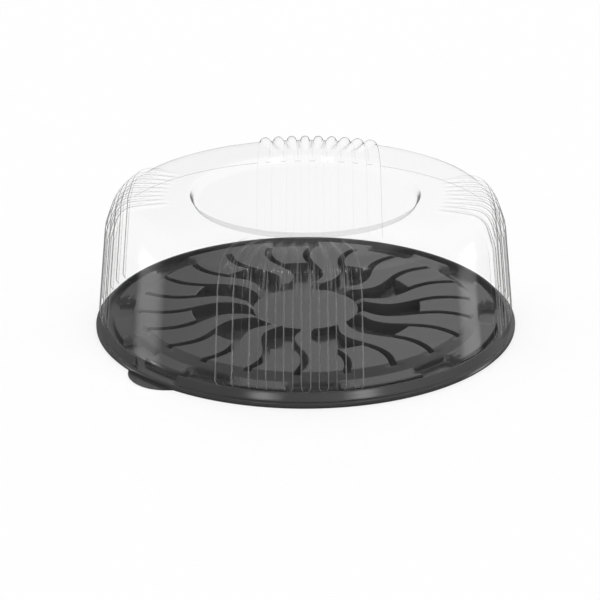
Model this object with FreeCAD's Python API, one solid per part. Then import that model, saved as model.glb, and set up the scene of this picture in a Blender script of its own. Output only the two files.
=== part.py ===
# Round cake container: a tray with an embossed sunburst floor, and a clear fluted dome lid that lifts off.
# Millimetres, +Z up. The origin is the middle of the tray, on the surface that it stands on.
import FreeCAD, Part
import math
import os

# Sheet thicknesses, and the gap between the lid and its seat
tray_wall = 0.5
lid_wall = 0.45
seat_gap = 0.3

# Tray rim, from the outside in
skirt_radius = 132.5
skirt_height = 3.4
shelf_width = 2.5
band_lean = 2.7
rim_height = 8.1
rim_width = 1.2
rim_rounding = 0.5
gutter_width = 4.8
gutter_floor = 3.0
ledge_width = 10.9
ledge_height = 7.1
slope_width = 7.0
platform_height = 10.3

# Scoops cut through the ledge, as bearings on both sides of the tab
scoop_bearings = (15.0, 47.0, 87.0, 132.0, 165.0)
scoop_width = 32.0
scoop_rounding = 9.0
scoop_reach = 12.5

# Corner tab on the skirt
tab_bearing = 229.75
tab_reach = 8.3
tab_rounding = 24.0
tab_overlap = 12.0

# Gap in the rim behind the tab, for a finger under the lid
finger_gap_width = 37.0

# Sunburst of wavy rays round a sunken hub
hub_radius = 33.1
hub_height = 7.7
hub_ramp = 4.4
ray_count = 11
ray_bearing = 15.65
ray_root_width = 5.6
ray_spread = 0.29
groove_width = 4.9
groove_runout = 2.0
valley_floor = 3.0
block_root_radius = 72.5
wave_swing = 4.93
wave_radius = 66.5
wave_rate = 5.93

# Lid wall and top, heights above the standing surface
foot_depth = 4.6
wall_lean = 6.0
crease_height = 65.4
crease_rounding = 1.5
shoulder_lean = 6.1
shoulder_height = 84.1
shoulder_rounding = 11.5
lip_radius = 71.6
lip_height = 86.0
lip_rounding = 1.2
panel_depth = 5.2
panel_draft = 2.6
panel_rounding = 2.4
seat_rounding = 0.8

# Flutes on the lid
group_count = 4
flute_count = 9
flute_pitch = 4.65
flute_radius = 2.8
flute_rise = 0.5
flute_level = 3.0
flute_fade = 14.0

# Sizes that follow from the ones above
shelf_radius = skirt_radius - shelf_width
rim_radius = shelf_radius - band_lean
rim_inner = rim_radius - rim_width
ledge_outer = rim_inner - gutter_width
ledge_inner = ledge_outer - ledge_width
platform_radius = ledge_inner - slope_width
ray_root_radius = hub_radius + hub_ramp
groove_end = platform_radius + groove_runout
ray_pitch = 360.0 / ray_count
group_turn = 360.0 / group_count
seat_height = rim_height + seat_gap
foot_radius = rim_inner - seat_gap
crease_radius = rim_radius - wall_lean
shoulder_radius = crease_radius - shoulder_lean
panel_radius = lip_radius - panel_draft
panel_height = lip_height - panel_depth

below = 2.0        # how far cutting forms reach past what they cut
axis = FreeCAD.Vector(0, 0, 1)
centre = FreeCAD.Vector(0, 0, 0)


def upright(a, b):
    return FreeCAD.Vector(a, 0, b)


def flat(a, b):
    return FreeCAD.Vector(a, b, 0)


def polar(radius, degrees, height=0.0):
    angle = math.radians(degrees)
    return FreeCAD.Vector(radius * math.cos(angle), radius * math.sin(angle), height)


# Corners are (a, b, rounding). The line through them is shifted to its left by a distance.
def shifted(corners, distance):
    lines = []
    for (a0, b0, _), (a1, b1, _) in zip(corners, corners[1:]):
        length = math.hypot(a1 - a0, b1 - b0)
        da, db = (a1 - a0) / length, (b1 - b0) / length
        lines.append((a0 - db * distance, b0 + da * distance, da, db))
    first, last = lines[0], lines[-1]
    run = math.hypot(corners[-1][0] - corners[-2][0], corners[-1][1] - corners[-2][1])
    moved = [(first[0], first[1], 0.0)]
    for (a0, b0, da0, db0), (a1, b1, da1, db1), corner in zip(lines, lines[1:], corners[1:]):
        cross = da0 * db1 - db0 * da1
        along = ((a1 - a0) * db1 - (b1 - b0) * da1) / cross
        rounding = corner[2] - distance * math.copysign(1.0, cross) if corner[2] else 0.0
        moved.append((a0 + da0 * along, b0 + db0 * along, max(rounding, 0.0)))
    moved.append((last[0] + last[2] * run, last[1] + last[3] * run, 0.0))
    return moved


# Straight edges with an arc at each rounded corner
def rounded_edges(corners, place):
    edges = []
    here = place(*corners[0][:2])
    for before, corner, after in zip(corners, corners[1:], corners[2:]):
        point = place(*corner[:2])
        arriving = (point - place(*before[:2])).normalize()
        leaving = (place(*after[:2]) - point).normalize()
        turn = arriving.getAngle(leaving)
        rounding = corner[2]
        if rounding > 0:
            reach = rounding * math.tan(turn / 2)
            start = point - arriving * reach
            end = point + leaving * reach
            inward = (leaving - arriving).normalize()
            middle = point + inward * rounding * (1 / math.cos(turn / 2) - 1)
            edges.append(Part.makeLine(here, start))
            edges.append(Part.Arc(start, middle, end).toShape())
            here = end
        else:
            edges.append(Part.makeLine(here, point))
            here = point
    edges.append(Part.makeLine(here, place(*corners[-1][:2])))
    return edges


# A solid turned about the axis, under a profile that starts or ends there, centred on the X axis
def turned(corners, floor, degrees=360.0):
    edges = rounded_edges(corners, upright)
    start = upright(*corners[0][:2])
    end = upright(*corners[-1][:2])
    foot_end = upright(end.x, floor)
    foot_start = upright(start.x, floor)
    for near, far in ((end, foot_end), (foot_end, foot_start), (foot_start, start)):
        if near.distanceToPoint(far) > 0:
            edges.append(Part.makeLine(near, far))
    solid = Part.Face(Part.Wire(Part.__sortEdges__(edges))).revolve(centre, axis, degrees)
    solid.rotate(centre, axis, -degrees / 2)
    return solid


def tray_corners():
    return [
        (0, hub_height, 0),
        (hub_radius, hub_height, 0),
        (ray_root_radius, platform_height, 0),
        (platform_radius, platform_height, 0),
        (ledge_inner, ledge_height, 0),
        (ledge_outer, ledge_height, 0),
        (ledge_outer, gutter_floor, 0),
        (rim_inner, gutter_floor, 0),
        (rim_inner, rim_height, rim_rounding),
        (rim_radius, rim_height, rim_rounding),
        (shelf_radius, skirt_height, 0),
        (skirt_radius, skirt_height, rim_rounding),
        (skirt_radius, 0, 0),
    ]


def wave(radius):
    return wave_swing * math.sin(wave_rate * math.log(radius / wave_radius))


# Half the width of a ray, as an angle
def ray_half(radius):
    width = ray_root_width + ray_spread * (radius - ray_root_radius)
    return math.degrees(width / 2 / radius)


# An edge that follows the wave, with its own angle beside it at each radius
def wavy_edge(beside, start, end, steps=10):
    radii = [start * (end / start) ** (step / steps) for step in range(steps + 1)]
    curve = Part.BSplineCurve()
    curve.interpolate([polar(radius, wave(radius) + beside(radius)) for radius in radii])
    return curve.toShape()


def ring_edge(radius, beside_start, beside_end):
    start = wave(radius) + beside_start(radius)
    end = wave(radius) + beside_end(radius)
    return Part.Arc(polar(radius, start), polar(radius, (start + end) / 2), polar(radius, end)).toShape()


# The sunk valley between two rays: a pocket at the hub, forked into two grooves round a block
def valley(grow, bottom, top):
    inner = hub_radius - grow
    outer = groove_end + grow
    root = block_root_radius + grow

    def ray_side(radius):
        return ray_half(radius) - math.degrees(grow / radius)

    def block_side(radius):
        return ray_half(radius) + math.degrees((groove_width + grow) / radius)

    def far_block_side(radius):
        return ray_pitch - block_side(radius)

    def next_ray_side(radius):
        return ray_pitch - ray_side(radius)

    edges = [
        wavy_edge(ray_side, inner, outer),
        ring_edge(outer, ray_side, block_side),
        wavy_edge(block_side, root, outer),
        ring_edge(root, block_side, far_block_side),
        wavy_edge(far_block_side, root, outer),
        ring_edge(outer, far_block_side, next_ray_side),
        wavy_edge(next_ray_side, inner, outer),
        ring_edge(inner, next_ray_side, ray_side),
    ]
    face = Part.Face(Part.Wire(Part.__sortEdges__(edges)))
    face.translate(axis * bottom)
    return face.extrude(axis * (top - bottom))


def turned_copies(shape, bearings):
    copies = []
    for bearing in bearings:
        copy = shape.copy()
        copy.rotate(centre, axis, bearing)
        copies.append(copy)
    return copies


# A round-cornered notch through the ledge, open to the gutter
def scoop(grow, bottom, top):
    inner = ledge_outer - scoop_reach - grow
    outer = ledge_outer + gutter_width / 2
    half = scoop_width / 2 + grow
    rounding = scoop_rounding + grow
    corners = [(outer, -half, 0), (inner, -half, rounding), (inner, half, rounding), (outer, half, 0)]
    edges = rounded_edges(corners, flat)
    edges.append(Part.makeLine(flat(outer, half), flat(outer, -half)))
    face = Part.Face(Part.Wire(edges))
    face.translate(axis * bottom)
    return face.extrude(axis * (top - bottom))


# A block that takes the rim away down to the skirt's shelf, from the gutter out
def finger_gap(grow, top):
    inner = ledge_outer + gutter_width / 2
    half = finger_gap_width / 2 + grow
    bottom = skirt_height - grow
    return Part.makeBox(
        skirt_radius + below - inner, half * 2, top - bottom, FreeCAD.Vector(inner, -half, bottom)
    )


# Everything under one face of the tray's sheet, sunk by a share of its wall
def tray_form(sink, floor):
    body = turned(shifted(tray_corners(), -sink) if sink else tray_corners(), floor)
    top = platform_height + below
    ray_bearings = [ray_bearing + ray_pitch * index for index in range(ray_count)]
    scoop_places = [tab_bearing + side * bearing for bearing in scoop_bearings for side in (1, -1)]
    sunk = turned_copies(valley(sink, valley_floor - sink, top), ray_bearings)
    sunk += turned_copies(scoop(sink, gutter_floor - sink, top), scoop_places)
    sunk += turned_copies(finger_gap(sink, top), [tab_bearing])
    return body.cut(Part.makeCompound(sunk))


# A flat rounded corner that sticks out of the skirt's lower edge
def tab():
    tip = skirt_radius + tab_reach + tab_rounding * (math.sqrt(2) - 1)
    back = skirt_radius - tab_overlap
    half = tip - back
    corners = [(back, -half, 0), (tip, 0, tab_rounding), (back, half, 0)]
    edges = rounded_edges(corners, flat)
    edges.append(Part.makeLine(flat(back, half), flat(back, -half)))
    plate = Part.Face(Part.Wire(edges)).extrude(axis * tray_wall)
    inside = Part.makeCylinder(skirt_radius - tray_wall, tray_wall)
    plate = plate.cut(inside)
    plate.rotate(centre, axis, tab_bearing)
    return plate


def base_tray():
    sheet = tray_form(0.0, 0.0).cut(tray_form(tray_wall, -below))
    return sheet.fuse(tab()).removeSplitter()


def lid_corners():
    return [
        (foot_radius, seat_height - foot_depth, 0),
        (foot_radius, seat_height, 0),
        (rim_radius, seat_height, seat_rounding),
        (crease_radius, crease_height, crease_rounding),
        (shoulder_radius, shoulder_height, shoulder_rounding),
        (lip_radius, lip_height, lip_rounding),
        (panel_radius, panel_height, panel_rounding),
        (0, panel_height, 0),
    ]


# The line that a flute's middle follows: up the wall, over the shoulder and down into the top
def flute_path():
    crease, shoulder, lip = shifted(lid_corners(), -flute_rise)[3:6]
    foot = (rim_radius, seat_height)
    start_height = seat_height + flute_radius + seat_gap
    climb = (start_height - foot[1]) / (crease[1] - foot[1])
    start = (rim_radius + flute_rise + (crease[0] - rim_radius - flute_rise) * climb, start_height, 0)
    fall = (lip[1] - shoulder[1]) / (shoulder[0] - lip[0])
    level_run = shoulder_rounding + flute_level
    level = (shoulder[0] - level_run, shoulder[1] + fall * level_run, shoulder_rounding)
    end_run = level_run + flute_fade
    end = (shoulder[0] - end_run, shoulder[1] + fall * end_run - flute_radius - flute_rise, 0)
    return [start, crease, shoulder, level, end]


def flute(radius):
    path = Part.Wire(rounded_edges(flute_path(), upright))
    start, after = (upright(*corner[:2]) for corner in flute_path()[:2])
    ring = Part.Wire(Part.makeCircle(radius, start, after - start))
    return path.makePipeShell([ring], True, True).fuse(Part.makeSphere(radius, start))


# Everything under one face of the lid's sheet, over the share of a turn that one group of flutes has
def lid_form(sink, floor):
    body = turned(shifted(lid_corners(), sink) if sink else lid_corners(), floor, group_turn)
    middle = (flute_count - 1) / 2
    bearings = [flute_pitch * (index - middle) for index in range(flute_count)]
    return body.fuse(turned_copies(flute(flute_radius - sink), bearings))


def dome_lid():
    foot_height = seat_height - foot_depth
    share = lid_form(0.0, foot_height).cut(lid_form(lid_wall, foot_height - below))
    shares = turned_copies(share, [group_turn * group for group in range(group_count)])
    return shares[0].fuse(shares[1:]).removeSplitter()


os.makedirs("parts", exist_ok=True)
base_tray().exportStep("parts/base_tray.step")
dome_lid().exportStep("parts/dome_lid.step")
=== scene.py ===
import math

import bpy
from mathutils import Matrix, Vector


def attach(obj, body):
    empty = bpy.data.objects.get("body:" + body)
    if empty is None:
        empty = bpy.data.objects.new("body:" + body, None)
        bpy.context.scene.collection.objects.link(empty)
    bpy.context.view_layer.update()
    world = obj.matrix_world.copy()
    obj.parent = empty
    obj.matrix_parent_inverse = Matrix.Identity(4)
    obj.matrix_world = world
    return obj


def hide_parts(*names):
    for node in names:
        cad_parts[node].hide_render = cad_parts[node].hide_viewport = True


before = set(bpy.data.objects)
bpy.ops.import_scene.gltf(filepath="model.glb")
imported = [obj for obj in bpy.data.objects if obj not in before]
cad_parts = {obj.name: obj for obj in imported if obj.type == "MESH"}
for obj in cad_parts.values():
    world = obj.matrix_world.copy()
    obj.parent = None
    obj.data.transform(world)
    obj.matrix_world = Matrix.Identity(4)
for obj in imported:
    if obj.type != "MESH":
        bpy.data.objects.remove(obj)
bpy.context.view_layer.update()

mm = 0.001
print("frame loaded:", ", ".join(sorted(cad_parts)))


class Wire:
    # a socket that takes part in sums
    def __init__(self, socket):
        self.socket = socket
        self.tree = socket.id_data

    def sum(self, operation, first, second):
        values = {0: first, 1: second}
        node = addNode(self.tree, "ShaderNodeMath", {"operation": operation}, values)
        return Wire(node.outputs[0])

    def __add__(self, other):
        return self.sum("ADD", self, other)

    def __radd__(self, other):
        return self.sum("ADD", other, self)

    def __sub__(self, other):
        return self.sum("SUBTRACT", self, other)

    def __rsub__(self, other):
        return self.sum("SUBTRACT", other, self)

    def __mul__(self, other):
        return self.sum("MULTIPLY", self, other)

    def __rmul__(self, other):
        return self.sum("MULTIPLY", other, self)

    def __pow__(self, other):
        return self.sum("POWER", self, other)


def addNode(tree, kind, settings=None, values=None):
    node = tree.nodes.new(kind)
    for key, value in (settings or {}).items():
        setattr(node, key, value)
    for key, value in (values or {}).items():
        if isinstance(value, Wire):
            tree.links.new(value.socket, node.inputs[key])
        else:
            node.inputs[key].default_value = value
    return node


def newMaterial(name):
    material = bpy.data.materials.new(name)
    material.use_nodes = True
    material.node_tree.nodes.clear()
    return material, material.node_tree


def showSurface(tree, shader):
    addNode(tree, "ShaderNodeOutputMaterial", None, {"Surface": Wire(shader.outputs[0])})


def noiseAt(tree, scale, detail):
    place = addNode(tree, "ShaderNodeTexCoord")
    values = {"Vector": Wire(place.outputs["Object"]), "Scale": scale, "Detail": detail}
    return Wire(addNode(tree, "ShaderNodeTexNoise", None, values).outputs[0])


def bumpOf(tree, height):
    values = {"Strength": 1.0, "Distance": 1.0, "Height": height}
    return Wire(addNode(tree, "ShaderNodeBump", None, values).outputs[0])


def markOf(tree, mark):
    return Wire(addNode(tree, "ShaderNodeAttribute", {"attribute_name": mark}).outputs["Fac"])


def mixOf(tree, share, first, second):
    values = {0: share, 1: Wire(first.outputs[0]), 2: Wire(second.outputs[0])}
    return addNode(tree, "ShaderNodeMixShader", None, values)


# goes smoothly from low to high while the value goes from start to end
def fadeOf(tree, value, start, end, low=0.0, high=1.0):
    values = {"Value": value, "From Min": start, "From Max": end, "To Min": low, "To Max": high}
    node = addNode(tree, "ShaderNodeMapRange", {"interpolation_type": "SMOOTHSTEP"}, values)
    return Wire(node.outputs[0])


def grey(level):
    return (level, level, level, 1)


# black tray: satin sheet, a little uneven in colour, gloss and level
blackSheet = {
    "dark": 0.035, "light": 0.045, "gloss": 0.12, "glossSpread": 0.08,
    "patchScale": 35, "patchDetail": 4, "grainScale": 1600, "grainDetail": 2, "grainDepth": 0.00002,
    "waveScale": 60, "waveDetail": 1, "waveDepth": 0.00005, "bendOfLight": 1.5,
}


def trayMaterial(look):
    material, tree = newMaterial("blackTraySheet")
    patches = noiseAt(tree, look["patchScale"], look["patchDetail"])
    grain = noiseAt(tree, look["grainScale"], look["grainDetail"])
    waves = noiseAt(tree, look["waveScale"], look["waveDetail"])
    mix = addNode(tree, "ShaderNodeMix", {"data_type": "RGBA"}, {
        0: patches, 6: grey(look["dark"]), 7: grey(look["light"])})
    height = waves * look["waveDepth"] + grain * look["grainDepth"]
    shader = addNode(tree, "ShaderNodeBsdfPrincipled", None, {
        "Base Color": Wire(mix.outputs[2]),
        "Roughness": look["gloss"] + patches * look["glossSpread"],
        "Normal": bumpOf(tree, height),
        "IOR": look["bendOfLight"],
    })
    showSurface(tree, shader)
    return material


# clear lid: the outer face mirrors more towards grazing, the inner face only a little;
# on the outer face tight bends, creases and the gaps between flutes get painted grey lines of light and
# shade, standing in for refraction and reflection there
clearSheet = {
    "pass": 0.998, "gloss": 0.03, "waveScale": 45, "waveDetail": 1, "waveDepth": 0.00006, "facing": 0.5,
    "mirrorLow": 0.03, "mirrorPower": 7, "mirrorBehind": 0.2, "inside": 0.006,
    # the next two lines set the painted grey lines of light and shade: their strength at bends, creases and
    # gaps, from in front and from behind, and their grey
    "edge": 0.95, "edgeBehind": 0.02, "edgeSoft": 0.5, "line": 0.03, "lineBehind": 0.4,
    "gap": 0.6, "gapBehind": 0.15, "paintedLineGrey": 0.2,
}


def facingOf(look, tree):
    return Wire(addNode(tree, "ShaderNodeLayerWeight", None, {"Blend": look["facing"]}).outputs["Facing"])


def clearShader(look, tree, mirror):
    waves = noiseAt(tree, look["waveScale"], look["waveDetail"])
    through = addNode(tree, "ShaderNodeBsdfTransparent", None, {"Color": grey(look["pass"])})
    shine = addNode(tree, "ShaderNodeBsdfAnisotropic", None, {
        "Color": grey(1), "Roughness": look["gloss"], "Normal": bumpOf(tree, waves * look["waveDepth"])})
    return mixOf(tree, mirror, through, shine)


def innerLidMaterial(look):
    material, tree = newMaterial("clearLidInner")
    showSurface(tree, clearShader(look, tree, facingOf(look, tree) * look["inside"]))
    return material


def outerLidMaterial(look):
    material, tree = newMaterial("clearLidOuter")
    facing = facingOf(look, tree)
    behind = Wire(addNode(tree, "ShaderNodeNewGeometry").outputs["Backfacing"])
    # marks from the mesh that say where the painted grey lines of light and shade go
    bend, line, gap = [markOf(tree, mark) for mark in ("bend", "line", "gap")]

    # all of it from in front, a share of it from behind
    def fromBehind(share):
        return 1 - behind * (1 - share)

    grazing = look["mirrorLow"] + (1 - look["mirrorLow"]) * facing ** look["mirrorPower"]
    sheet = clearShader(look, tree, grazing * fromBehind(look["mirrorBehind"]))
    # painted grey lines of light and shade, standing in for refraction and reflection: where the sheet is
    # seen edge-on at a bend, along the crease and the recess, and in the gaps between flutes
    edge = fadeOf(tree, 1 - facing, bend, bend * look["edgeSoft"])
    paintedLineShare = edge * look["edge"] * fromBehind(look["edgeBehind"])
    paintedLineShare = paintedLineShare + line * (look["line"] + behind * look["lineBehind"])
    paintedLineShare = paintedLineShare + gap * look["gap"] * fromBehind(look["gapBehind"])
    # the painted grey of these lines, as a diffuse shader
    paintedLineShader = addNode(tree, "ShaderNodeBsdfDiffuse", None, {"Color": grey(look["paintedLineGrey"])})
    showSurface(tree, mixOf(tree, paintedLineShare, sheet, paintedLineShader))
    return material


def smooth(share):
    share = min(max(share, 0), 1)
    return share * share * (3 - 2 * share)


def deselectAll():
    if bpy.context.object and bpy.context.object.mode == "EDIT":
        bpy.ops.object.mode_set(mode="OBJECT")
    bpy.ops.object.select_all(action="DESELECT")


# corners are (radius, height, rounding, steps of the straight run up to it), in mm
def roundedProfile(corners, arcSteps):
    points = [Vector(corners[0][:2])]
    for before, corner, after in zip(corners, corners[1:], corners[2:] + [None]):
        tip = Vector(corner[:2])
        arriving = (tip - Vector(before[:2])).normalized()
        leaving = (Vector(after[:2]) - tip).normalized() if after else arriving
        turn = arriving.angle(leaving)
        reach = corner[2] * math.tan(turn / 2)
        first, start = points[-1], tip - arriving * reach
        points += [first.lerp(start, (step + 1) / corner[3]) for step in range(corner[3])]
        if reach > 0:
            middle = tip + (leaving - arriving).normalized() * corner[2] / math.cos(turn / 2)
            spoke = start - middle
            side = 1 if arriving.cross(leaving) > 0 else -1
            for step in range(1, arcSteps + 1):
                points.append(middle + Matrix.Rotation(side * turn * step / arcSteps, 2) @ spoke)
    return points


# how sheets are worked: seams closer than join (m) close, edges up to smoothTo (degrees) shade as
# round, and open edges are looked for within pickSpan (mm)
sheetWork = {"join": 0.00002, "smoothTo": 50, "pickSpan": 1}


# a grid whose every vertex is put in place, in mm, and marked by its column and row
def shapedGrid(name, columns, rows, place, marks=None):
    deselectAll()
    bpy.ops.mesh.primitive_grid_add(x_subdivisions=columns - 1, y_subdivisions=rows - 1, size=2)
    sheet = bpy.context.object
    sheet.name = sheet.data.name = name
    spots = []
    for vertex in sheet.data.vertices:
        column = round((vertex.co.x + 1) / 2 * (columns - 1))
        row = round((vertex.co.y + 1) / 2 * (rows - 1))
        vertex.co = place(column, row) * mm
        spots.append((column, row))
    for mark, value in (marks or {}).items():
        layer = sheet.data.attributes.new(mark, "FLOAT", "POINT")
        for index, spot in enumerate(spots):
            layer.data[index].value = value(*spot)
    return sheet


def polar(radius, angle, height):
    return Vector((radius * math.cos(angle), radius * math.sin(angle), height))


# turns copies of the sheet round the axis and joins their seams
def copyAround(count):
    bpy.ops.object.mode_set(mode="EDIT")
    bpy.ops.mesh.select_all(action="SELECT")
    if count > 1:
        turn = math.tau * (count - 1) / count
        bpy.ops.mesh.spin(steps=count - 1, dupli=True, angle=turn, center=(0, 0, 0), axis=(0, 0, 1))
    bpy.ops.mesh.select_all(action="SELECT")
    bpy.ops.mesh.remove_doubles(threshold=sheetWork["join"])
    bpy.ops.object.mode_set(mode="OBJECT")


# picks the open edges between two radii, in mm
def pickOpenEdges(sheet, inner, outer):
    bpy.ops.object.mode_set(mode="EDIT")
    bpy.ops.mesh.select_mode(type="EDGE")
    bpy.ops.mesh.select_all(action="DESELECT")
    bpy.ops.mesh.select_non_manifold()
    bpy.ops.object.mode_set(mode="OBJECT")
    for edge in sheet.data.edges:
        ends = [sheet.data.vertices[end].co.xy.length for end in edge.vertices]
        edge.select = edge.select and min(ends) > inner * mm and max(ends) < outer * mm
    bpy.ops.object.mode_set(mode="EDIT")


# fills the round opening of a radius, in mm, in the middle of a sheet
def closeMiddle(sheet, radius):
    pickOpenEdges(sheet, radius - sheetWork["pickSpan"], radius + sheetWork["pickSpan"])
    bpy.ops.mesh.edge_face_add()


# gives a sheet its wall, with the last of its materials on the inner face
def finishSheet(sheet, wall, materials):
    sheet.data.materials.clear()
    for material in materials:
        sheet.data.materials.append(material)
    bpy.ops.object.mode_set(mode="EDIT")
    bpy.ops.mesh.select_all(action="SELECT")
    bpy.ops.mesh.normals_make_consistent(inside=False)
    bpy.ops.object.mode_set(mode="OBJECT")
    thick = sheet.modifiers.new("wall", "SOLIDIFY")
    thick.thickness = wall * mm
    thick.offset = -1
    thick.material_offset = len(materials) - 1
    bpy.ops.object.modifier_apply(modifier=thick.name)
    bpy.ops.object.shade_smooth_by_angle(angle=math.radians(sheetWork["smoothTo"]))


# dome lid: a turned sheet with groups of upright flutes pressed out of it, in mm and degrees;
# the last three lines are for the marks that say where its outer material paints grey lines of light and
# shade
lid = {
    "wall": 0.45, "foot": (125.8, 3.8), "seat": 8.9, "seatRound": 0.3, "rim": 127.3, "rimRound": 0.5,
    "wallEnd": 7.0, "crease": (121.3, 65.4), "creaseNear": 0.4, "creaseLean": 0.13,
    "shoulder": (115.2, 84.1), "shoulderRound": 11.5, "level": 101.0, "levelHigh": 84.72,
    "fade": 15.0, "fadeHigh": 85.37, "lip": (71.6, 86.0), "lipRound": 1.2,
    "panel": (69.0, 80.8), "panelRound": 2.4, "panelRow": 3, "middle": 30, "arcSteps": 5,
    "groups": 4, "plainSteps": 5, "flutes": 9, "pitch": 4.65, "fluteHigh": 3.3, "crown": 2.9, "root": 0.8,
    "lean": 8, "crownSteps": 4, "rootSteps": 3, "overShoulder": 0.85, "tip": 3.2, "footWide": 0.4,
    "bend": 0.06, "fluteBend": 0.66, "levelBend": 0.22, "levelRate": 1.5,
    "recessBend": 0.3, "recessLine": 0.4, "recessFoot": 0.2,
    "creaseClose": 0.01, "creaseFlat": 0.5, "gapEnd": 0.001, "gapClimb": 4,
}


def lidRows(look):
    lean = (look["rim"] - look["crease"][0]) / (look["crease"][1] - look["seat"])
    near = look["creaseNear"]
    corners = [
        (*look["foot"], 0, 0),
        (look["foot"][0], look["seat"], look["seatRound"], 2),
        (look["rim"], look["seat"], look["rimRound"], 1),
        (look["rim"] - lean * look["wallEnd"], look["seat"] + look["wallEnd"], 0, 9),
        (look["crease"][0] + lean * near, look["crease"][1] - near, 0, 6),
        (*look["crease"], 0, 1),
        (look["crease"][0] - look["creaseLean"], look["crease"][1] + near, 0, 1),
        (*look["shoulder"], look["shoulderRound"], 2),
        (look["level"], look["levelHigh"], 0, 1),
        (look["level"] - look["fade"], look["fadeHigh"], 0, 8),
        (*look["lip"], look["lipRound"], 2),
        (*look["panel"], look["panelRound"], 1),
        (look["panel"][0] - look["panelRow"], look["panel"][1], 0, 1),
        (look["middle"], look["panel"][1], 0, 2),
    ]
    return roundedProfile(corners, look["arcSteps"])


# half a flute's section from its middle out, in mm: a round crown, a steep side and a small root
def fluteSection(look):
    lean = math.radians(look["lean"])
    crown, root = look["crown"], look["root"]
    section = []
    for step in range(look["crownSteps"] + 1):
        angle = math.pi / 2 + (lean - math.pi / 2) * step / look["crownSteps"]
        section.append((crown * math.cos(angle), look["fluteHigh"] - crown + crown * math.sin(angle)))
    across, high = section[-1]
    side = (high + root * math.sin(lean) - root) / math.cos(lean)
    middle = across + side * math.sin(lean) + root * math.cos(lean)
    for step in range(look["rootSteps"] + 1):
        angle = math.pi + lean + (math.pi / 2 - lean) * step / look["rootSteps"]
        section.append((middle + root * math.cos(angle), root + root * math.sin(angle)))
    return section


# columns are (angle of a flute's middle, offset from it in mm, height in mm)
def lidColumns(look):
    pitch = math.radians(look["pitch"])
    half = pitch * look["flutes"] / 2
    plain = math.pi / look["groups"] - half
    section = fluteSection(look)
    steps = look["plainSteps"]
    columns = [(-half - plain * (1 - step / steps), 0, 0) for step in range(steps)]
    for index in range(look["flutes"]):
        middle = pitch * (index + 0.5) - half
        columns.append((middle - pitch / 2, 0, 0))
        columns += [(middle, -across, high) for across, high in reversed(section)]
        columns += [(middle, across, high) for across, high in section[1:]]
    columns += [(half + plain * step / steps, 0, 0) for step in range(steps + 1)]
    return columns


# how wide and how high the flutes are on each row
def fluteShare(look, point):
    climb = min(max((point.y - look["seat"]) / look["tip"], 0), 1)
    rise = math.sqrt(1 - (1 - climb) ** 2) if point.x > look["level"] else 1
    sink = min(max((look["level"] - point.x) / look["fade"], 0), 1)
    crease, shoulder = look["crease"][1], look["shoulder"][1]
    lower = 1 - (1 - look["overShoulder"]) * smooth((point.y - crease) / (shoulder - crease))
    wide = look["footWide"] + (1 - look["footWide"]) * rise * (1 - sink)
    return wide, rise * (1 - sink) * lower


def makeLid(look):
    rows = lidRows(look)
    columns = lidColumns(look)
    ends = [rows[0]] + rows + [rows[-1]]
    alongs = [(after - before).normalized() for before, after in zip(ends, ends[2:])]
    shares = [fluteShare(look, point) for point in rows]

    def place(column, row):
        middle, offset, height = columns[column]
        wide, high = shares[row]
        out = rows[row] + Vector((alongs[row].y, -alongs[row].x)) * high * height
        return polar(out.x, middle + offset * wide / rows[row].x, out.y)

    def onRecess(row):
        return rows[row].x < look["lip"][0] and rows[row].y > look["panel"][1] + look["recessFoot"]

    # the marks say where the outer material paints grey lines of light and shade: at bends seen edge-on,
    # along the crease and on the recess, and in the gaps between flutes
    def bend(column, row):
        if onRecess(row):
            return look["recessBend"]
        fluted = 1 if columns[column][1] or columns[column][2] else 0
        inward = (look["crease"][0] - rows[row].x) / (look["crease"][0] - look["level"])
        flat = smooth(inward * look["levelRate"])
        most = look["fluteBend"] + (look["levelBend"] - look["fluteBend"]) * flat
        return look["bend"] + (most - look["bend"]) * fluted * shares[row][1]

    def line(column, row):
        if onRecess(row):
            return look["recessLine"]
        onCrease = abs(rows[row].y - look["crease"][1]) < look["creaseClose"]
        return 1 if onCrease and columns[column][2] < look["creaseFlat"] else 0

    # painted grey gap lines: only between the flutes of a group, and only over the crease
    def gap(column, row):
        middle, offset, height = columns[column]
        inGroup = abs(middle) < math.radians(look["pitch"]) * look["flutes"] / 2 - look["gapEnd"]
        overTop = smooth((rows[row].y - look["crease"][1]) / look["gapClimb"])
        return shares[row][1] * overTop if inGroup and offset == 0 and height == 0 else 0

    marks = {"bend": bend, "line": line, "gap": gap}
    sheet = shapedGrid("dome_lid_sheet", len(columns), len(rows), place, marks)
    copyAround(look["groups"])
    closeMiddle(sheet, look["middle"])
    finishSheet(sheet, look["wall"], [outerLidMaterial(clearSheet), innerLidMaterial(clearSheet)])
    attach(sheet, "lid")
    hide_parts("dome_lid")
    print("lid made:", len(sheet.data.polygons), "faces")


makeLid(lid)

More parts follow.
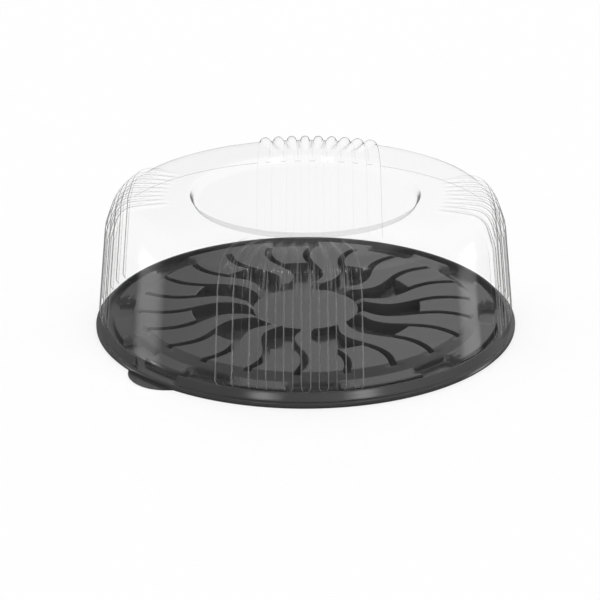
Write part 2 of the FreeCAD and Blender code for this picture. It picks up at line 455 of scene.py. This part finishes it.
# base tray: a sunburst floor, a ledge with scoops, a gutter and a rim, all one sheet;
# lengths are in mm; bearings, waveSwing and ringStep in degrees; tabNear is a cosine
tray = {
    "wall": 0.5, "hub": 33.1, "hubHigh": 7.7, "rayRoot": 37.5, "top": 10.3, "platform": 103.4,
    "rays": 11, "bearing": 15.65, "rayWide": 5.6, "raySpread": 0.29, "groove": 4.9, "valley": 3.0,
    "slopeWide": 0.8, "slopeSteps": (0, 0.15, 0.35, 0.65, 0.85, 1), "blockRoot": 71.5, "blockSlope": 1.0,
    "waveSwing": 4.93, "waveRadius": 66.5, "waveRate": 5.93, "grooveFade": (100.5, 106.0),
    "seam": 107.0, "seamGap": 0.5, "seamNear": 0.2, "arcSteps": 3,
    "ledge": (110.4, 121.3), "ledgeHigh": 7.1, "ledgeRound": (1.5, 0.6), "ledgeLean": 0.7,
    "gutter": 3.0, "gutterRound": 0.5, "rimInner": 126.1, "rim": 127.3, "rimHigh": 8.1, "rimRound": 0.55,
    "rimFoot": 1, "shelf": 130.0, "shelfHigh": 3.4, "shelfRound": 0.4, "skirt": 132.5, "skirtRound": 0.9,
    "scoops": (15, 47, 87, 132, 165), "scoopWide": 32.0, "scoopRound": 6.0, "scoopReach": 12.5,
    "scoopSlope": 1.6,
    "tab": 229.75, "tabNear": 0.9, "tabReach": 8.3, "tabRound": 24.0, "tabTries": 8, "tabSteps": 5,
    "tabHigh": 0.9, "turnUnder": 0.8, "gapWide": 37.0, "gapSlope": 1.4, "ringStep": 3,
    "scoopOffsets": (0, 4, 7, 8.5, 10, 11.3, 12.5, 13.4, 14.2, 14.9, 15.5, 16.1, 17),
    "tabOffsets": (2, 5, 8, 11, 14, 17.4, 17.9, 18.3, 18.7, 19.1, 19.6, 20.4, 21.5),
}


def trayTop(look, radius):
    ramp = (radius - look["hub"]) / (look["rayRoot"] - look["hub"])
    high = look["hubHigh"] + (look["top"] - look["hubHigh"]) * min(max(ramp, 0), 1)
    fall = (look["top"] - look["ledgeHigh"]) / (look["ledge"][0] - look["platform"])
    return high - fall * max(radius - look["platform"], 0)


# columns from one ray's middle to the next: (which edge, mm from it or share of the way, share of height)
def burstColumns(look):
    steps = look["slopeSteps"]
    down = [("ray", look["slopeWide"] * step, 1 - smooth(step)) for step in steps]
    up = [("block", -look["slopeWide"] * step, 1 - smooth(step)) for step in reversed(steps)]
    half = [("rayShare", 0.0, 1), ("rayShare", 0.5, 1)] + down
    half += [("floor", 0, 0)] + up + [("blockShare", 0.4, 1)]
    columns = [(0, *column) for column in half] + [(0, "blockShare", 1.0, 1)]
    return columns + [(1, *column) for column in reversed(half)]


# rows stand closer where the sheet turns
burstRadii = (
    14, 26, 31.5, 33.1, 33.5, 34.0, 34.6, 35.4, 36.4, 37.5, 38.6, 41, 45, 49, 53, 57, 61, 65, 69,
    71.5, 71.9, 72.4, 72.9, 73.3, 75, 78, 82, 86, 90, 94, 97, 98.5, 100, 101.3, 102.4,
    103.0, 103.6, 104.4, 105.6, 107,
)


def makeBurst(look):
    columns = burstColumns(look)
    pitch = math.tau / look["rays"]

    def place(column, row):
        radius = burstRadii[row]
        far, edge, offset, high = columns[column]
        spread = max(radius, look["hub"])
        waved = min(spread, look["platform"])
        phase = look["waveRate"] * math.log(waved / look["waveRadius"])
        wave = math.radians(look["waveSwing"]) * math.sin(phase)
        ray = (look["rayWide"] + look["raySpread"] * (spread - look["rayRoot"])) / 2 / spread
        block = ray + look["groove"] / spread
        angle = {
            "ray": ray + offset / spread,
            "block": block + offset / spread,
            "rayShare": ray * offset,
            "blockShare": block + (pitch / 2 - block) * offset,
            "floor": (ray + block) / 2,
        }[edge]
        if edge in ("block", "blockShare"):
            high = high * smooth((radius - look["blockRoot"]) / look["blockSlope"])
        hubSide = 1 - smooth((radius - look["hub"]) / look["slopeWide"])
        fadeStart, fadeEnd = look["grooveFade"]
        ending = smooth((radius - fadeStart) / (fadeEnd - fadeStart))
        high = max(high, hubSide, ending)
        level = look["valley"] + (trayTop(look, radius) - look["valley"]) * high
        turn = math.radians(look["bearing"]) + wave + (pitch - angle if far else angle)
        return polar(radius, turn, level)

    sheet = shapedGrid("base_tray_sheet", len(columns), len(burstRadii), place)
    copyAround(look["rays"])
    return sheet


# share of the way down into the scoops of the ledge
def scoopDepth(look, radius, angle):
    deepest = 0
    for bearing in look["scoops"]:
        for side in (1, -1):
            away = angle - math.radians(look["tab"] + side * bearing)
            across = abs(radius * math.sin(away))
            inward = look["ledge"][1] - look["scoopReach"] - radius * math.cos(away)
            if math.cos(away) < 0:
                continue
            bend = look["scoopRound"]
            corner = Vector((inward + bend, across - look["scoopWide"] / 2 + bend))
            outside = Vector((max(corner.x, 0), max(corner.y, 0))).length
            distance = min(max(corner.x, corner.y), 0) + outside - bend
            deepest = max(deepest, smooth(-distance / look["scoopSlope"]))
    return deepest


# the angle from the tab's middle, or nothing far away from it
def fromTab(look, angle):
    away = angle - math.radians(look["tab"])
    return None if math.cos(away) < look["tabNear"] else away


# how far the tab stands out of the skirt: a rounded square corner
def tabOut(look, angle):
    away = fromTab(look, angle)
    if away is None:
        return 0
    bend = look["tabRound"]
    tip = look["skirt"] + look["tabReach"]
    straight = bend / math.sqrt(2)
    reach = look["skirt"]
    for _ in range(look["tabTries"]):
        across = abs(reach * math.sin(away))
        if across < straight:
            along = tip - bend + math.sqrt(bend * bend - across * across)
        else:
            along = tip - bend + straight - (across - straight)
        reach = along / math.cos(away)
    return max(reach - look["skirt"], 0)


# share of the way down into the gap in the rim behind the tab
def gapDepth(look, radius, angle):
    away = fromTab(look, angle)
    if away is None:
        return 0
    inside = look["gapWide"] / 2 - abs(radius * math.sin(away))
    return smooth(inside / look["gapSlope"] + 0.5)


# closer where the scoops and the tab have their sides
def ringAngles(look):
    spreads = [(look["tab"] + side * bearing, look["ledge"][1], look["scoopOffsets"])
               for bearing in look["scoops"] for side in (1, -1)]
    spreads.append((look["tab"], look["rim"], look["tabOffsets"]))
    angles = set()
    for middle, reach, offsets in spreads:
        for offset in offsets:
            turn = math.degrees(offset / reach)
            angles |= {round((middle + turn) % 360, 3), round((middle - turn) % 360, 3)}
    angles = sorted(angles)
    filled = []
    for here, after in zip(angles, angles[1:] + [angles[0] + 360]):
        steps = max(1, round((after - here) / look["ringStep"]))
        filled += [here + (after - here) * step / steps for step in range(steps)]
    return [math.radians(angle) for angle in filled + [filled[0] + 360]]


def ringRows(look):
    seam = look["seam"] + look["seamGap"]
    corners = [
        (seam, trayTop(look, seam), 0, 0),
        (look["ledge"][0], look["ledgeHigh"], look["ledgeRound"][0], 4),
        (look["ledge"][1], look["ledgeHigh"], look["ledgeRound"][1], 7),
        (look["ledge"][1] + look["ledgeLean"], look["gutter"], look["gutterRound"], 2),
        (look["rimInner"], look["gutter"], look["gutterRound"], 1),
        (look["rimInner"], look["rimHigh"], look["rimRound"], 2),
        (look["rim"], look["rimHigh"], look["rimRound"], 1),
        (look["shelf"], look["shelfHigh"], look["shelfRound"], 2),
        (look["skirt"], look["shelfHigh"], look["skirtRound"], 1),
        (look["skirt"], look["tabHigh"], 0, 2),
    ]
    return roundedProfile(corners, look["arcSteps"])


def makeRing(look):
    angles = ringAngles(look)
    rows = ringRows(look)
    rimFoot = look["rimInner"] - look["rimFoot"]

    # the last rows lead out along the tab and turn under
    def place(column, row):
        angle = angles[column]
        if row >= len(rows):
            step = row - len(rows) + 1
            out = tabOut(look, angle)
            if step > look["tabSteps"]:
                return polar(look["skirt"] + out - look["turnUnder"], angle, 0)
            return polar(look["skirt"] + out * step / look["tabSteps"], angle, look["tabHigh"])
        point = rows[row]
        level = point.y
        if point.x < rimFoot and level > look["gutter"]:
            level += (look["gutter"] - level) * scoopDepth(look, point.x, angle)
        if point.x > rimFoot and level > look["shelfHigh"]:
            level += (look["shelfHigh"] - level) * gapDepth(look, point.x, angle)
        return polar(point.x, angle, level)

    sheet = shapedGrid("tray_ring", len(angles), len(rows) + look["tabSteps"] + 1, place)
    copyAround(1)
    return sheet


def makeTray(look):
    burst = makeBurst(look)
    ring = makeRing(look)
    deselectAll()
    ring.select_set(True)
    burst.select_set(True)
    bpy.context.view_layer.objects.active = burst
    bpy.ops.object.join()
    pickOpenEdges(burst, look["seam"] - look["seamNear"], look["seam"] + look["seamGap"] + look["seamNear"])
    bpy.ops.mesh.bridge_edge_loops()
    bpy.ops.object.mode_set(mode="OBJECT")
    closeMiddle(burst, burstRadii[0])
    finishSheet(burst, look["wall"], [trayMaterial(blackSheet)])
    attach(burst, "tray")
    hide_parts("base_tray")
    print("tray made:", len(burst.data.polygons), "faces")


makeTray(tray)


# room: white for the camera, and for mirrored rays a back wall that brightens to one side and upwards,
# a front wall, a dim floor and a dim ceiling, two upright strips below eye level as (bearing, half
# width, strength) and two soft boxes as (bearing, climb, half width, strength), angles in degrees
room = {
    "back": (0.33, 0.57), "backSide": (-0.14, -0.05),
    "backClimb": (0.384, 0.412, 1.0, 1.75), "backTop": (0.413, 0.423, 1.0, 0.72),
    "front": (0.3, 0.5, 0.3, 0.7), "frontSide": (-0.35, 0.45, 0.6, 1.35), "frontFrom": (0.1, -0.5),
    "ceiling": 0.35, "ceilingFrom": (0.66, 0.92), "soften": 0.05,
    "floor": 0.2, "underFrom": (-0.65, -0.9),
    "strips": ((175.75, 7.5, 2.9), (19.75, 5.0, 2.6)),
    "stripTop": (0.0, 0.1), "stripFoot": (-0.36, -0.50), "stripSoft": 6.5, "stripEase": 1.001,
    "boxes": ((249.45, 36, 5.0, 5.0), (309.05, 36, 5.0, 5.0)), "boxSoft": 3.0,
}


def lightRoom(look):
    world = bpy.data.worlds.new("room")
    bpy.context.scene.world = world
    world.use_nodes = True
    tree = world.node_tree
    tree.nodes.clear()
    toward = addNode(tree, "ShaderNodeTexCoord").outputs["Generated"]
    parts = addNode(tree, "ShaderNodeSeparateXYZ", None, {0: Wire(toward)})
    x, y, z = [Wire(parts.outputs[axis]) for axis in "XYZ"]

    def fade(value, *ends):
        return fadeOf(tree, value, *ends)

    def around(value, half, soft):
        edges = [math.cos(math.radians(half + side * soft)) for side in (1, -1)]
        return fade(value, *edges)

    walls = fade(x, *look["backSide"], *look["back"])
    walls = walls * fade(z, *look["backClimb"]) * fade(z, *look["backTop"])
    front = fade(z, *look["front"]) * fade(x, *look["frontSide"])
    walls = walls + (front - walls) * fade(y, *look["frontFrom"])
    walls = walls + (look["ceiling"] - walls) * fade(z, *look["ceilingFrom"])
    ground = look["floor"] * (1 - fade(z, *look["underFrom"]))
    glow = ground + (walls - ground) * fade(z, -look["soften"], look["soften"])
    # a little over 1, so that it stays finite straight up
    flat = (look["stripEase"] - z * z) ** -0.5
    upright = (1 - fade(z, *look["stripTop"])) * (1 - fade(z, *look["stripFoot"]))
    for bearing, half, strength in look["strips"]:
        spot = polar(1, math.radians(bearing), 0)
        aim = (x * spot.x + y * spot.y) * flat
        glow = glow + around(aim, half, look["stripSoft"]) * upright * strength
    for bearing, climb, half, strength in look["boxes"]:
        spot = polar(math.cos(math.radians(climb)), math.radians(bearing), math.sin(math.radians(climb)))
        aim = x * spot.x + y * spot.y + z * spot.z
        glow = glow + around(aim, half, look["boxSoft"]) * strength
    mirrored = Wire(addNode(tree, "ShaderNodeLightPath").outputs["Is Glossy Ray"])
    shown = 1 + mirrored * (glow - 1)
    shine = addNode(tree, "ShaderNodeBackground", None, {"Color": shown, "Strength": 1.0})
    addNode(tree, "ShaderNodeOutputWorld", None, {"Surface": Wire(shine.outputs[0])})


lightRoom(room)

# floor: pale, nearly white to the camera, and it keeps a soft shadow
floorLook = {"size": 8.0, "paint": 0.97, "glow": 0.75}


def layFloor(look):
    deselectAll()
    bpy.ops.mesh.primitive_plane_add(size=look["size"], location=(0, 0, 0))
    floor = bpy.context.object
    floor.name = "floor"
    material, tree = newMaterial("floorPaint")
    seen = Wire(addNode(tree, "ShaderNodeLightPath").outputs["Is Camera Ray"])
    paint = addNode(tree, "ShaderNodeBsdfDiffuse", None, {"Color": grey(look["paint"])})
    glow = addNode(tree, "ShaderNodeEmission", None, {"Color": grey(1), "Strength": 1.0})
    showSurface(tree, mixOf(tree, seen * look["glow"], paint, glow))
    floor.data.materials.append(material)
    floor.visible_glossy = False


layFloor(floorLook)

# camera: stands in front, a little to the side, and looks down on the container
view = {
    "lens": 122.14, "sensor": 36, "place": (-0.00352, -1.19152, 0.50573),
    "down": 22.45, "turn": 4.75, "roll": -0.2, "clearBounces": 64,
}


def setCamera(look):
    camera = bpy.data.objects.new("camera", bpy.data.cameras.new("camera"))
    bpy.context.scene.collection.objects.link(camera)
    camera.data.lens = look["lens"]
    camera.data.sensor_width = look["sensor"]
    turn = Matrix.Rotation(math.radians(look["turn"]), 4, "Z")
    tilt = Matrix.Rotation(math.radians(90 - look["down"]), 4, "X")
    roll = Matrix.Rotation(math.radians(look["roll"]), 4, "Z")
    camera.matrix_world = turn @ Matrix.Translation(look["place"]) @ tilt @ roll
    bpy.context.scene.camera = camera


setCamera(view)
bpy.context.scene.view_settings.view_transform = "Standard"
bpy.context.scene.cycles.transparent_max_bounces = view["clearBounces"]
print("room, floor and camera set")
